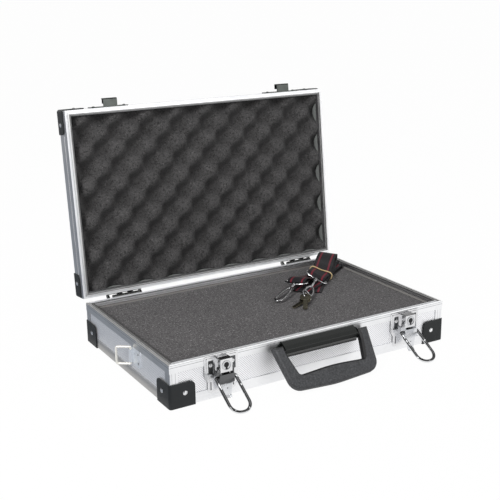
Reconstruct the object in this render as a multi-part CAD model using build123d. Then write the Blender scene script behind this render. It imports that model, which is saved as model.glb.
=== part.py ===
from build123d import *
import os
from math import asin, cos, radians, sin

# A hard microphone case of aluminium-faced board with a hinged lid, shown open. Millimetres.
# X runs along the front, Y to the back, Z up. Origin: on the table, under the middle of the base.

# Case
case_width = 450.0
case_depth = 280.0
base_height = 61.0        # table to the base's rim
lid_height = 31.0         # lid's rim to its top
rim_gap = 0.3             # between the two rims when closed
open_angle = 96.3         # lid at its stop
stand_off = 1.5           # what a corner protector adds outside the extrusions

# Sheet, board and extrusion
panel = 4.0               # board with its aluminium face
panel_inset = 1.0         # panel face behind the extrusions' faces
liner = 3.0               # inner wall board
skin = 1.0                # wall of an extrusion
rim_tall = 12.0           # face of the rim extrusion
rim_head = 4.0            # solid head of the rim extrusion
rim_wide = 9.0            # land of the rim, outside to inside
edge_tall = 14.0          # face of the edge extrusion
edge_wide = 12.0          # its leg under the bottom panel
post_wide = 12.5          # leg of a corner post
groove_in = 3.0           # groove's outer side, from the rim's outer face
groove_wide = 2.8
groove_deep = 2.2
tongue_wide = 1.8
tongue_tall = 1.7

# Corner protectors
guard_leg = 37.0
guard_base_tall = 34.0
guard_lid_tall = 21.0
guard_round = 7.0
guard_corner = 4.0        # rounding of its upright edge
guard_edge = 1.4          # and of its lower edges
guard_reach = 60.0        # cuts that shape it run past it by this much
rivet_inset = 21.0        # protector's rivets, from the case's corner
rivet_level = 20.0        # and from the protector's foot, on the base
lid_rivet_level = 11.0    # and on the lid
rivet_head_r = 3.3
rivet_head_tall = 1.3
rivet_shank_r = 1.5
rivet_box = 9.0           # room for a head

# Foam
base_foam_top = 52.0
lid_foam_near = 7.3       # peaks of the lid's foam, behind its rim
lid_foam_far = 18.2       # and its valleys
crate_pitch = 50.0        # along X and Y, with a peak in the middle of each square too
crate_peak = (52.0, -130.0)
crate_foot, crate_tip = 34.8, 13.0     # sides of a peak at its foot and tip

# Hinges
hinge_out = 4.8           # axis behind the back face
hinge_drop = 1.2          # axis below the base's rim
hinge_at = 158.0
hinge_long = 56.0
hinge_bare = 6.0          # of its length at each end, without knuckles
knuckle_r = 3.2
knuckle_gap = 0.2         # beside each knuckle
hinge_pin_r = 1.5
leaf = 1.4
leaf_rise = 3.2           # lid's leaf starts this far above its rim
leaf_drop = 5.4           # base's leaf starts this far below its rim
leaf_low, leaf_high = 33.0, 21.0       # ends of the leaves: from the table, and from the lid's rim
stop_wide = 3.0           # each of the cheeks that stop the lid

# Latches
latch_places = {"left": (-150.5, 2.2), "right": (153.0, 0.8)}   # middle, and lift above the levels below
plate_wide = 50.0
plate_foot_wide = 41.0
plate_low, plate_high = 7.5, 58.8
plate_flange = 1.0
plate_thick = 2.2
pan_inset = 2.6           # raised pan, in from the flange's edge
lock_wide = 18.4
lock_low, lock_high = 38.2, 57.0
lock_deep = 12.3
lock_wall = 1.4
cylinder_r = 6.8
cylinder_level = 48.0
running = 0.06            # radial clearance of pins and of the cylinder
bolt_travel = 5.0
lever_axis = (-151.5, 42.0)
lever_wide = 21.8
lever_wall = 1.4
lever_top, lever_tip = 36.2, 3.8
bail_axis = (-150.5, 31.0)
bail_long = 55.5
bail_half = 14.5          # wire centre from the latch's middle
bail_wire_r = 2.25
bail_pin_r = 1.6
bail_end_z = 2.7          # where the bail's end lies on the table
bail_round = 13.5
bail_neck = 2.6           # bends where its ends turn in

# Lid catches
catch_wide = 58.0
catch_low, catch_high = 3.0, 27.0      # from the lid's rim
hook_low, hook_high = 5.0, 18.0
hook_tall = 13.4
hook_wide = 22.0
hook_tip_wide = 15.0
hook_sheet = 1.6
hook_lip = 5.2            # lip's free end above the lid's face
catch_sheet = 1.4

# Handle
bracket_half = 59.5
handle_axis = (-150.0, 48.0)
handle_pin_r = 2.5
bracket_high, bracket_low = 58.0, 37.5
bracket_out = 13.6
bracket_wing = 7.0        # of the flange behind each arm of the grip
handle_pin = (44.0, 68.5)              # ends of a pin
grip_top_half, grip_low_half = 78.0, 69.5
grip_long = 60.5          # pivot to the bar's outer edge in the middle
grip_corner = 18.0
gap_top_half, gap_low_half = 62.0, 53.0
gap_long = 34.3           # pivot to the bar's inner edge in the middle
grip_thick = 13.0
grip_edge, gap_edge = 4.5, 2.6         # rounding outside, chamfer inside
grip_rest = 48.7          # degrees below level at rest

# Strap rings
ring_axis_y = -27.0
ring_level = 36.2
ring_off = 3.4            # wire centre from the side's face
ring_long = 20.0
ring_tall = 24.5
ring_wire_r = 1.6
ring_rest = 56.0          # degrees out from the side's face
ring_bend = 2.6
ring_plate_tall = 25.2
ring_plate_back, ring_plate_front = 7.0, 26.0    # behind and before the ring's axis
barrel_r, barrel_half = 3.0, 9.2

# Strap and keys
bundle_low, bundle_mid, bundle_high = 53.4, 61.0, 67.3
band_wide = 4.0
band_thick = 0.8
band_place = (158.0, 75.0)
band_left, band_right = -26.2, 20.4    # its inner sides, across the webbing
eye_half = (4.5, 20.5)    # webbing eye of a hook: half width and half length
eye_wire_r = 1.7
hook_loop_half = 7.0
hook_wire_r = 2.0
swivel_end = 15.0
hook_eyes = ((84.0, 40.0, 64.6), (124.0, 41.0, 65.9))
hook_tips = ((27.0, 5.0, 55.6), (72.0, -9.0, 60.5))
hook_sides = ((21, -18, 3), (2, -52, -1))
hook_necks = (17.0, 38.0)
key_ring_r = 9.0
key_ring_wire_r = 0.9
ring_lean = 50.0
key_thick = 1.6
key_bow_r, key_hole_r = 8.5, 2.9
key_holes = ((65.8, -16.6, 57.6), (66.2, -13.6, 62.0))
key_tips = ((34.0, -29.0, 53.7), (46.0, -43.0, 53.9))

half_x = case_width / 2
half_y = case_depth / 2
panel_x = half_x - panel_inset
panel_y = half_y - panel_inset
inner_x = panel_x - panel
inner_y = panel_y - panel
room_x = inner_x - liner
room_y = inner_y - liner
lid_rim = base_height + rim_gap
lid_top = lid_rim + lid_height
hinge_axis = (half_y + hinge_out, base_height - hinge_drop)

nodes = {}


def keep(name, *solids):
    """Adds solids to a named sub-part."""
    nodes.setdefault(name, []).extend(solids)


def slab(x, y, z):
    """A block between two limits on each axis."""
    lows = [min(limits) for limits in (x, y, z)]
    highs = [max(limits) for limits in (x, y, z)]
    sizes = [high - low for low, high in zip(lows, highs)]
    return Pos(*lows) * Box(*sizes, align=(Align.MIN, Align.MIN, Align.MIN))


def across(points, start, end, radius=0.0):
    """A prism along X from an outline in Y and Z."""
    outline = FilletPolyline(*points, radius=radius, close=True)
    return extrude(Plane.YZ.offset(start) * make_face(outline), end - start)


def facing(points, start, end, radius=0.0):
    """A prism from an outline in X and Z, standing out from the front: limits count towards -Y."""
    outline = FilletPolyline(*points, radius=radius, close=True)
    return extrude(Plane.XZ.offset(start) * make_face(outline), end - start)


def upright(points, start, end, radius=0.0):
    """A prism along Z from an outline in X and Y."""
    outline = FilletPolyline(*points, radius=radius, close=True)
    return extrude(Plane.XY.offset(start) * make_face(outline), end - start)


def rod(start, end, radius):
    """A round bar between two points."""
    run = Vector(*end) - Vector(*start)
    return extrude(Plane(Vector(*start), z_dir=run) * Circle(radius), run.length)


def wire(points, radius, bends, closed=False):
    """A bent wire of round section along straight runs joined by arcs."""
    path = FilletPolyline(*points, radius=bends, close=closed)
    section = Plane(path @ 0, z_dir=path % 0) * Circle(radius)
    return sweep(section, path)


def turned(shape, axis, angle):
    """A shape turned about a line along X, through (y, z)."""
    return shape.rotate(Axis((0, axis[0], axis[1]), (1, 0, 0)), angle)


def opened(shape):
    """From the closed lid's place to the open lid's."""
    return turned(shape, hinge_axis, -open_angle)


def rivet(seat, outward, grip):
    """A domed rivet: its head on the seat, its shank running inwards."""
    place = Plane(Vector(*seat), z_dir=Vector(*outward))
    ball = (rivet_head_r ** 2 + rivet_head_tall ** 2) / (2 * rivet_head_tall)
    dome = Pos(0, 0, rivet_head_tall - ball) * Sphere(ball)
    head = dome & (Pos(0, 0, rivet_head_tall / 2) * Box(rivet_box, rivet_box, rivet_head_tall))
    shank = Pos(0, 0, -grip / 2) * Cylinder(rivet_shank_r, grip)
    return place * (head + shank)


def rivet_hole(seat, outward, grip):
    """The hole that a rivet's shank fills."""
    place = Plane(Vector(*seat), z_dir=Vector(*outward))
    return place * (Pos(0, 0, -grip / 2) * Cylinder(rivet_shank_r, grip))


def four_lengths(section):
    """Four mitred lengths of an extrusion round the case, from a section of (distance in, z)."""
    lengths = []
    for turn, (run, off) in enumerate([(half_x, half_y), (half_y, half_x)] * 2):
        bar = across([(-off + d, z) for d, z in section], -run, run)
        reach = 20.0
        mitre = [(-run, -off), (run, -off), (run - reach, reach - off), (reach - run, reach - off)]
        lengths.append((bar & upright(mitre, -10, lid_top + 10)).rotate(Axis.Z, 90 * turn))
    return lengths


def corners(shape):
    """A shape made for the front left corner, repeated at all four."""
    right = shape.mirror(Plane.YZ)
    return [shape, right, shape.mirror(Plane.XZ), right.mirror(Plane.XZ)]


def corner_guard(foot, tall, level):
    """A corner protector for the front left corner and the seats of its two rivets."""
    side = 1 if tall > 0 else -1
    out_x, out_y = half_x + stand_off, half_y + stand_off
    block = slab((-out_x, -out_x + guard_leg), (-out_y, -out_y + guard_leg), (foot, foot + tall))
    near = 0.1
    upright_edge = [e for e in block.edges()
                    if abs(e.center().X + out_x) + abs(e.center().Y + out_y) < near]
    block = fillet(upright_edge, guard_corner)
    lower_edges = [e for e in block.edges() if abs(e.center().Z - foot) < near
                   and min(abs(e.center().X + out_x), abs(e.center().Y + out_y)) < guard_corner]
    block = fillet(lower_edges, guard_edge)
    inside = foot + side * stand_off
    block -= slab((-half_x, 0), (-half_y, 0), (inside, inside + side * guard_reach))
    end = guard_leg - guard_round
    for x, y, z in [(1, 0, 1), (0, 1, 1), (1, 1, 0)]:
        spans = []
        for free, low in ((x, -out_x), (y, -out_y)):
            spans.append((low + end, low + guard_leg) if free else (low - 1, low + guard_leg + 1))
        top = foot + tall - side * guard_round
        spans.append((top, foot + tall) if z else (foot - 1 * side, foot + side * (stand_off + 0.01)))
        cut = slab(*spans)
        axis_dir = (1 - x, 1 - y, 1 - z)
        centre = (-out_x + end if x else -out_x - 1, -out_y + end if y else -out_y - 1,
                  top if z else foot - side)
        far = tuple(c + guard_reach * a * turn for c, a, turn in zip(centre, axis_dir, (1, 1, side)))
        if x and z:
            cut &= slab((-out_x, 0), (-out_y - 1, -half_y), (foot, foot + tall))
        if y and z:
            cut &= slab((-out_x - 1, -half_x), (-out_y, 0), (foot, foot + tall))
        block -= cut - rod(centre, far, guard_round)
    seats = [((-half_x + rivet_inset, -out_y, level), (0, -1, 0)),
             ((-out_x, -half_y + rivet_inset, level), (-1, 0, 0))]
    return block, seats


def shell(name, foot, rim, rivet_from_foot, guard_tall):
    """Panels, extrusions, posts, protectors and lining of one half, from its outer face to its rim."""
    up = 1 if rim > foot else -1
    floor = foot + up * stand_off

    def rise(distance):
        return floor + up * distance

    def drop(distance):
        return rim - up * distance

    board_end = drop(rim_head)
    board_start = rise(skin)
    floor_name = "bottom" if up > 0 else "top"
    parts = {
        f"{name}_{floor_name}_panel": slab((-inner_x, inner_x), (-inner_y, inner_y),
                                           (board_start, rise(skin + panel))),
        f"{name}_front_panel": slab((-inner_x, inner_x), (-panel_y, -inner_y), (board_start, board_end)),
        f"{name}_back_panel": slab((-inner_x, inner_x), (inner_y, panel_y), (board_start, board_end)),
        f"{name}_left_panel": slab((-panel_x, -inner_x), (-panel_y, panel_y), (board_start, board_end)),
        f"{name}_right_panel": slab((inner_x, panel_x), (-panel_y, panel_y), (board_start, board_end)),
    }

    lip = drop(rim_head + 2.0)
    head = [(0, drop(rim_tall)), (skin, drop(rim_tall)), (skin, drop(rim_head)),
            (rim_wide - skin, drop(rim_head)), (rim_wide - skin, lip), (rim_wide, lip), (rim_wide, rim)]
    if up > 0:
        groove = [(groove_in + groove_wide, rim), (groove_in + groove_wide, rim - groove_deep),
                  (groove_in, rim - groove_deep), (groove_in, rim)]
    else:
        slack = (groove_wide - tongue_wide) / 2
        groove = [(groove_in + groove_wide - slack, rim),
                  (groove_in + groove_wide - slack, rim - tongue_tall),
                  (groove_in + slack, rim - tongue_tall), (groove_in + slack, rim)]
    section = head + groove + [(0.5, rim), (0, drop(0.5))]
    parts[f"{name}_rim_frame"] = four_lengths(section)
    parts[f"{name}_edge_frame"] = four_lengths(
        [(0.6, floor), (edge_wide, floor), (edge_wide, rise(skin)), (skin, rise(skin)),
         (skin, rise(edge_tall)), (0, rise(edge_tall)), (0, rise(0.6))])

    ends = sorted((rise(edge_tall), drop(rim_tall)))
    angle = [(-half_x, -half_y), (-half_x + post_wide, -half_y), (-half_x + post_wide, -panel_y),
             (-panel_x, -panel_y), (-panel_x, -half_y + post_wide), (-half_x, -half_y + post_wide)]
    parts[f"{name}_corner_posts"] = corners(upright(angle, *ends, radius=[1.5, 0, 0, 0, 0, 0]))

    lining = (rise(skin + panel), board_end)
    parts[f"{name}_liner"] = []
    for end in (-1, 1):
        parts[f"{name}_liner"] += [
            slab((-inner_x, inner_x), (end * room_y, end * inner_y), lining),
            slab((end * room_x, end * inner_x), (-room_y, room_y), lining)]

    guard, seats = corner_guard(foot, up * guard_tall, foot + up * rivet_from_foot)
    grip = stand_off + panel_inset + panel
    for seat, outward in seats:
        guard -= rivet_hole(seat, outward, grip)
    parts[f"{name}_corner_protectors"] = corners(guard)
    parts[f"{name}_rivets"] = [one for place in seats for one in corners(rivet(*place, grip))]
    holes = [one for place in seats for one in corners(rivet_hole(*place, grip))]
    for word in ("front", "back", "left", "right"):
        parts[f"{name}_{word}_panel"] -= holes
    parts[f"{name}_edge_frame"] = [length - holes for length in parts[f"{name}_edge_frame"]]
    return parts


def placed(solids, place):
    """A latch's solids moved to its middle and lifted to its level."""
    middle, lift = place
    return [Pos(middle, 0, lift) * solid for solid in solids]


def latch_plate():
    """The chromed plate with a raised pan, and its two rivets' places."""
    wide, foot = plate_wide / 2, plate_foot_wide / 2
    outline = [(-wide, plate_high), (-wide, 31), (-foot, 24), (-foot, plate_low),
               (foot, plate_low), (foot, 24), (wide, 31), (wide, plate_high)]
    face = half_y + plate_flange
    flange = facing(outline, half_y, face, radius=[1.5, 6, 6, 5, 5, 6, 6, 1.5])
    inset = pan_inset
    raised = [(-wide + inset, plate_high - inset), (-wide + inset, 32), (-foot + inset, 25),
              (-foot + inset, plate_low + inset), (foot - inset, plate_low + inset),
              (foot - inset, 25), (wide - inset, 32), (wide - inset, plate_high - inset)]
    pan = facing(raised, face, half_y + plate_thick, radius=[1, 5, 5, 4, 4, 5, 5, 1])
    plate = flange + pan
    window = [(12.4, 53.5), (20.2, 53.5), (20.2, 36.5), (12.4, 34)]
    slot = [(15.9, 12.5), (17.5, 12.5), (17.5, 24), (15.9, 24)]
    for side in (-1, 1):
        for outline, radius in ((window, 0.8), (slot, 0.7)):
            place = [(side * x, z) for x, z in outline]
            plate -= facing(place, face + 0.2, face + plate_thick, radius=radius)
    return plate


def lock_case():
    """The open-backed box that holds the lock cylinder and carries the lever's pins."""
    out = half_y + plate_thick + lock_deep
    half = lock_wide / 2
    box = slab((-half, half), (-out, -half_y - plate_thick), (lock_low, lock_high))
    sides = [e for e in box.edges().filter_by(Axis.Y) if e.center().Z > cylinder_level]
    box = fillet(sides, 1.5)
    front = [e for e in box.edges() if abs(e.center().Y + out) < 0.01]
    box = fillet(front, 0.9)
    inner = half - lock_wall
    box -= slab((-inner, inner), (-out + lock_wall, 0), (lock_low - 1, lock_high - lock_wall))
    box -= rod((0, -out - 1, cylinder_level), (0, -out + 3, cylinder_level), cylinder_r + running)
    for side in (-1, 1):
        box -= rod((side * 5, *lever_axis), (side * 12, *lever_axis), rivet_shank_r + running)
    return box


def lock_cylinder():
    """The cylinder with its keyhole, and the pin that drives the bolt."""
    out = half_y + plate_thick + lock_deep
    front, back = -out - 0.5, -out + 7.0
    barrel = rod((0, front, cylinder_level), (0, back, cylinder_level), cylinder_r)
    ring = rod((0, front, cylinder_level), (0, front + 0.6, cylinder_level), cylinder_r - 1.0)
    barrel -= ring
    hole = rod((0, front - 1, cylinder_level + 0.6), (0, front + 5.5, cylinder_level + 0.6), 3.3)
    hole += slab((-1.2, 1.2), (front - 1, front + 5.5), (cylinder_level - 5.6, cylinder_level))
    barrel -= hole
    return barrel + rod((4.6, back - 1, cylinder_level), (4.6, back + 1.6, cylinder_level), 1.0)


def lock_bolt():
    """The flat bolt behind the cylinder, raised at rest."""
    out = half_y + plate_thick + lock_deep
    near, far = -out + 7.4, -out + 9.0
    half = lock_wide / 2 - lock_wall - 0.3
    body = slab((-half, half), (near, far), (lock_low + 1.0, cylinder_level + 2.8))
    body -= slab((-1.6, 5.9), (near - 1, far + 1), (cylinder_level - 2.0, cylinder_level + 1.7))
    body -= slab((-half - 1, -3.0), (near - 1, far + 1), (lock_low, lock_low + 3.5))
    body -= slab((3.0, half + 1), (near - 1, far + 1), (lock_low, lock_low + 3.5))
    return body


def latch_lever():
    """The lever: a front sheet with a flared finger tongue, two arms, and a shelf for the bolt."""
    out = half_y + plate_thick + lock_deep + 0.25
    half = lever_wide / 2
    front = facing([(-half, lever_top), (-half, 24.5), (-7.6, 22.5), (-5.2, 7.5), (5.2, 7.5),
                    (7.6, 22.5), (half, 24.5), (half, lever_top)],
                   out, out + lever_wall, radius=[0.6, 2, 2, 0.5, 0.5, 2, 2, 0.6])
    tip = across([(-out, 7.5), (-out - lever_wall, 7.5), (-out - lever_wall - 3.2, lever_tip + 0.6),
                  (-out - lever_wall - 2.2, lever_tip)], -5.2, 5.2)
    lever = front + tip
    y0, z0 = lever_axis
    for side in (-1, 1):
        arm = across([(-out, lever_top), (-out, 24.5), (bail_axis[0] + 3.9, 25.5), (y0 + 4.3, 38),
                      (y0 + 4.3, z0 + 4.2), (y0 - 3.2, z0 + 4.2), (y0 - 3.4, lever_top + 2)],
                     side * (half - lever_wall), side * half, radius=[0, 0, 3, 2, 3, 2, 1])
        arm -= rod((side * 5, *lever_axis), (side * 15, *lever_axis), rivet_shank_r + running)
        arm -= rod((side * 5, *bail_axis), (side * 15, *bail_axis), bail_pin_r + running)
        lever += arm
    shelf = slab((-6, 6), (-out, -out + 11.5), (lever_top - 1.4, lever_top))
    shelf -= slab((-3.6, 3.6), (-out + 6.6, -out + 9.9), (lever_top - 3, lever_top + 1))
    return lever + shelf


def lever_pins():
    """Two short pins that the lever turns on, held in the lock case's walls."""
    pins = []
    for side in (-1, 1):
        shank = rod((side * (lock_wide / 2 - lock_wall), *lever_axis),
                    (side * (lever_wide / 2 + 0.05), *lever_axis), rivet_shank_r)
        head = rod((side * (lever_wide / 2 + 0.05), *lever_axis),
                   (side * (lever_wide / 2 + 0.65), *lever_axis), 2.6)
        pins.append(shank + head)
    return pins


def latch_bail(lift):
    """The wire loop with necked ends turned in to the lever's arms, its end on the table."""
    y0, z0 = bail_axis
    end_z = bail_end_z - lift
    fall = asin((z0 - end_z) / bail_long)
    end_y = y0 - bail_long * cos(fall)
    neck = lever_wide / 2 + 0.3
    loop = wire([(-neck, y0, z0), (-bail_half, y0, z0), (-bail_half, end_y, end_z),
                 (bail_half, end_y, end_z), (bail_half, y0, z0), (neck, y0, z0)],
                bail_wire_r, [bail_neck, bail_round, bail_round, bail_neck])
    for side in (-1, 1):
        loop += rod((side * (neck + 0.4), y0, z0), (side * (lever_wide / 2 - 2.2), y0, z0), bail_pin_r)
    return loop


def lid_catch():
    """The catch on the closed lid's front: a riveted flange with an upstanding hook."""
    half = catch_wide / 2
    tall = lid_rim + hook_tall
    flange = facing([(-half, lid_rim + catch_low), (half, lid_rim + catch_low),
                     (half, lid_rim + catch_high), (-half, lid_rim + catch_high)],
                    half_y, half_y + catch_sheet, radius=4)
    low, high = lid_rim + hook_low, lid_rim + hook_high
    top = half_y + hook_tall
    out = [(-half_y - 0.5, low), (-top, low), (-top, high), (-half_y - hook_lip, high),
           (-half_y - hook_lip, high - hook_sheet), (-top + hook_sheet, high - hook_sheet),
           (-top + hook_sheet, low + hook_sheet), (-half_y - 0.5, low + hook_sheet)]
    hook = across(out, -hook_wide / 2, hook_wide / 2, radius=[0, 2.2, 2.2, 0, 0, 0.6, 0.6, 0])
    right = [(hook_wide / 2, low - 1), (hook_wide / 2, high - 5.5), (hook_tip_wide / 2, high + 1)]
    left = [(-x, z) for x, z in reversed(right)]
    tip = facing(left + right, half_y, top + 1)
    return flange + (hook & tip)


def handle_bracket():
    """The black bracket between the grip's arms."""
    y0, z0 = handle_axis
    section = [(0, bracket_high), (2.2, bracket_high), (9.0, bracket_high - 3.8),
               (bracket_out, bracket_high - 7.8), (bracket_out, bracket_low + 7.5),
               (bracket_out - 3.1, bracket_low + 3), (bracket_out - 4.1, bracket_low), (0, bracket_low)]
    body = across([(-half_y - out, z) for out, z in section], -bracket_half, bracket_half,
                  radius=[0, 0.8, 5, 2, 2.5, 3, 0.8, 0])
    start, end = bracket_half - 1, bracket_half + bracket_wing
    wing = [(start, 57.2), (end, 52), (end, 41), (start, 38)]
    for side in (-1, 1):
        body += facing([(side * x, z) for x, z in wing], half_y, half_y + 1.8, radius=[0, 2, 2, 0])
        body -= rod((side * handle_pin[0], y0, z0), (side * (handle_pin[1] + 1.5), y0, z0), handle_pin_r)
    return body


def handle_grip():
    """The grip: a tapered U with a bowed bar, built flat and turned to where it lies."""
    over = 9.0
    right = [(0, -grip_long), (grip_low_half, -grip_long + 4), (grip_top_half, over)]
    left = [(-x, y) for x, y in reversed(right[1:])]
    bends = [0, grip_corner, 200, grip_corner, 0]
    outer = make_face(FilletPolyline(*left, *right, radius=bends, close=True))
    over += 1
    right = [(0, -gap_long), (gap_low_half, -gap_long - 3.4), (gap_top_half - 1.5, -9),
             (gap_top_half, over)]
    left = [(-x, y) for x, y in reversed(right[1:])]
    window = make_face(FilletPolyline(*left, *right, radius=[0, 20, 5, 300, 5, 20, 0], close=True))
    flat = extrude(outer - window, grip_thick / 2, both=True)

    def rims():
        return [e for e in flat.edges() if abs(abs(e.center().Z) - grip_thick / 2) < 0.01]

    middle = (grip_long + gap_long) / 2
    arm = (grip_low_half + gap_top_half) / 2 + 1
    flat = fillet([e for e in rims() if e.center().Y < -middle + 3 or abs(e.center().X) > arm], grip_edge)
    flat = chamfer([e for e in rims() if e.center().Z > 0 and abs(e.center().X) < gap_top_half + 1
                    and -middle + 7 < e.center().Y < over - 2], gap_edge)
    end = grip_top_half + 2
    eyes = rod((-end, 0, 0), (end, 0, 0), grip_thick / 2)
    flat &= eyes + slab((-end, end), (-2 * grip_long, 0), (-grip_thick, grip_thick))
    y0, z0 = handle_axis
    grip = Pos(0, y0, z0) * flat.rotate(Axis.X, grip_rest)
    for side in (-1, 1):
        grip -= rod((side * handle_pin[0], y0, z0), (side * (handle_pin[1] + 0.5), y0, z0),
                    handle_pin_r + running)
    return grip


def handle_pins():
    """The two steel pins that join grip and bracket."""
    y0, z0 = handle_axis
    return [rod((side * handle_pin[0], y0, z0), (side * handle_pin[1], y0, z0), handle_pin_r)
            for side in (-1, 1)]


def hinge_leaves(of_lid):
    """The two leaves of one half, knuckles included, in the closed lid's place for the lid."""
    y0, z0 = hinge_axis
    leaves = []
    knuckles = 5
    segment = (hinge_long - 2 * hinge_bare) / knuckles
    up = 1 if of_lid else -1
    for middle in (-hinge_at, hinge_at):
        start, end = middle - hinge_long / 2, middle + hinge_long / 2
        near = lid_rim + leaf_rise if of_lid else base_height - leaf_drop
        far = lid_rim + leaf_high if of_lid else leaf_low
        body = slab((start, end), (half_y, half_y + leaf), (near, far))
        web = [(half_y, near), (half_y, near + up * 3), (half_y + leaf, near + up * 3),
               (y0 + 0.6, z0 + up * (knuckle_r - 0.4)), (y0 - 0.9, z0)]
        for k in range(knuckles):
            if (k % 2 == 1) != of_lid:
                continue
            low = start + hinge_bare + k * segment + knuckle_gap
            high = low + segment - 2 * knuckle_gap
            body += across(web, low, high) + rod((low, y0, z0), (high, y0, z0), knuckle_r)
        if not of_lid:
            cheek = [(half_y, 43), (half_y, 55), (half_y + 6, 57), (half_y + 11.5, 61.4),
                     (half_y + 16.5, 60.9), (half_y + 16.5, 58)]
            for low in (start, end - stop_wide):
                body += across(cheek, low, low + stop_wide)
        body -= rod((start - 1, y0, z0), (end + 1, y0, z0), hinge_pin_r + (running if of_lid else 0))
        leaves.append(body)
    return leaves


def hinge_pins():
    """One pin for each hinge."""
    y0, z0 = hinge_axis
    reach = hinge_long / 2 - hinge_bare
    return [rod((middle - reach, y0, z0), (middle + reach, y0, z0), hinge_pin_r)
            for middle in (-hinge_at, hinge_at)]


def ring_bracket():
    """The left side's bracket: a plate with the barrel that holds the ring's upright bar."""
    face = -panel_x
    half = ring_plate_tall / 2
    plate = slab((face - 1.3, face), (ring_axis_y - ring_plate_front, ring_axis_y + ring_plate_back),
                 (ring_level - half, ring_level + half))
    plate = fillet(plate.edges().filter_by(Axis.X), 5)
    centre = face - ring_off
    low, high = ring_level - barrel_half, ring_level + barrel_half
    barrel = rod((centre, ring_axis_y, low), (centre, ring_axis_y, high), barrel_r)
    barrel += slab((centre, face), (ring_axis_y - barrel_r, ring_axis_y), (low, high))
    rib = slab((face - 2.3, face), (ring_axis_y - 20, ring_axis_y - 2), (ring_level - 5, ring_level + 5))
    rib = fillet(rib.edges().filter_by(Axis.X), 3)
    body = plate + barrel + rib
    return body - rod((centre, ring_axis_y, low - 1), (centre, ring_axis_y, high + 1),
                      ring_wire_r + running)


def side_ring():
    """The left side's wire ring, swung out from the face."""
    centre = -panel_x - ring_off
    tall = ring_tall / 2
    low, high = ring_level - tall, ring_level + tall
    free = ring_axis_y + ring_long
    loop = wire([(centre, ring_axis_y, low), (centre, ring_axis_y, high), (centre, free, high),
                 (centre, free, low)], ring_wire_r, ring_bend, closed=True)
    return loop.rotate(Axis((centre, ring_axis_y, 0), (0, 0, 1)), ring_rest)


def strap_webbing():
    """The folded webbing, as two stacked blocks on the foam."""
    long_fold = upright([(208, 92), (200, 124), (158, 100), (112, 78), (86, 64), (81, 44), (104, 34),
                         (131, 26), (168, 60)], bundle_low, bundle_mid, radius=4)
    top_fold = upright([(204, 94), (193, 122), (150, 92), (138, 79), (150, 52), (170, 66)],
                       bundle_mid, bundle_high, radius=4)
    return [long_fold, top_fold]


def strap_band():
    """The rubber band round the folded webbing."""
    place = Plane((*band_place, 0), x_dir=(0.698, -0.716, 0), z_dir=(-0.716, -0.698, 0))

    def outline(grown, radius):
        left, right = band_left - grown, band_right + grown
        low, high = bundle_low - 0.3 - grown, bundle_high + 0.4 + grown
        corner_points = [(left, low), (right, low), (right, high), (left, high)]
        return make_face(FilletPolyline(*corner_points, radius=radius, close=True))

    return extrude(place * (outline(band_thick, 2) - outline(0, 1.2)), band_wide)


def snap_hook(eye, tip, side, neck):
    """A snap hook from the middle of its webbing eye to its tip: eye, swivel, neck and loop."""
    run = Vector(*tip) - Vector(*eye)
    place = Plane(Vector(*eye), x_dir=run, z_dir=run.cross(Vector(*side)))
    end = run.length
    x, y = eye_half
    ring = wire([(-x, -y, 0), (x, -y, 0), (x, y, 0), (-x, y, 0)], eye_wire_r, 3, closed=True)
    swivel = rod((x, 0, 0), (swivel_end, 0, 0), 3.3) + rod((x + 3.5, 0, 0), (x + 6.5, 0, 0), 3.9)
    shaft = rod((swivel_end - 1, 0, 0), (neck + 1, 0, 0), 2.4)
    y = hook_loop_half
    corner_points = [(neck, -y, 0), (end, -y, 0), (end, y, 0), (neck, y, 0)]
    loop = wire(corner_points, hook_wire_r, y - 0.1, closed=True)
    return place * (ring + swivel + shaft + loop)


def key_ring():
    """The split ring that passes through the second hook's loop, as one closed ring."""
    run = (Vector(*hook_tips[1]) - Vector(*hook_eyes[1])).normalized()
    rise = run.cross(Vector(0, 0, 1)).normalized() * cos(radians(ring_lean))
    rise += Vector(0, 0, 1) * sin(radians(ring_lean))
    place = Plane(Vector(*hook_tips[1]), x_dir=run, z_dir=run.cross(rise))
    return place * Torus(key_ring_r, key_ring_wire_r)


def key(hole, tip):
    """A key from the hole in its bow to its tip."""
    run = Vector(*tip) - Vector(*hole)
    flat = run.cross(Vector(0, 0, 1)).normalized()
    place = Plane(Vector(*hole), x_dir=run, z_dir=run.cross(flat) * -1)
    end = run.length
    half = 3.4
    teeth = [(end, 1), (end - 2.5, half), (end - 5, 1.6), (end - 7.5, half), (end - 10, 1.2),
             (end - 12.5, half), (end - 15, 2), (end - 17, half)]
    blade = [(key_bow_r, -half), (end - 2, -half), (end, -1.4), *teeth, (key_bow_r, half)]
    bow = Pos(3.7, 0) * Circle(key_bow_r) - Circle(key_hole_r)
    shape = make_face(Polyline(*blade, close=True)) + bow
    return extrude(place * shape, key_thick / 2, both=True)


def lid_foam(back):
    """The egg-crate foam of the closed lid: a sheet with blunt four-sided peaks."""
    valley, peak = lid_rim + lid_foam_far, lid_rim + lid_foam_near
    step = crate_pitch / 2
    columns, rows = int(2 * room_x / step) + 2, int(2 * room_y / step) + 2
    peaks = []
    for i in range(-columns, columns):
        for k in range(-rows, rows):
            x, y = crate_peak[0] + i * step, crate_peak[1] + k * step
            if (i + k) % 2 or abs(x) > room_x + step - 1 or abs(y) > room_y + step - 1:
                continue
            foot = Pos(x, y, valley + 0.01) * Rectangle(crate_foot, crate_foot, 45)
            tip = Pos(x, y, peak) * Rectangle(crate_tip, crate_tip, 45)
            peaks.append(loft([foot, tip], ruled=True))
    room = slab((-room_x, room_x), (-room_y, room_y), (peak - 1, back))
    sheet = slab((-room_x, room_x), (-room_y, room_y), (valley, back))
    return sheet + [one & room for one in peaks]


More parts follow.
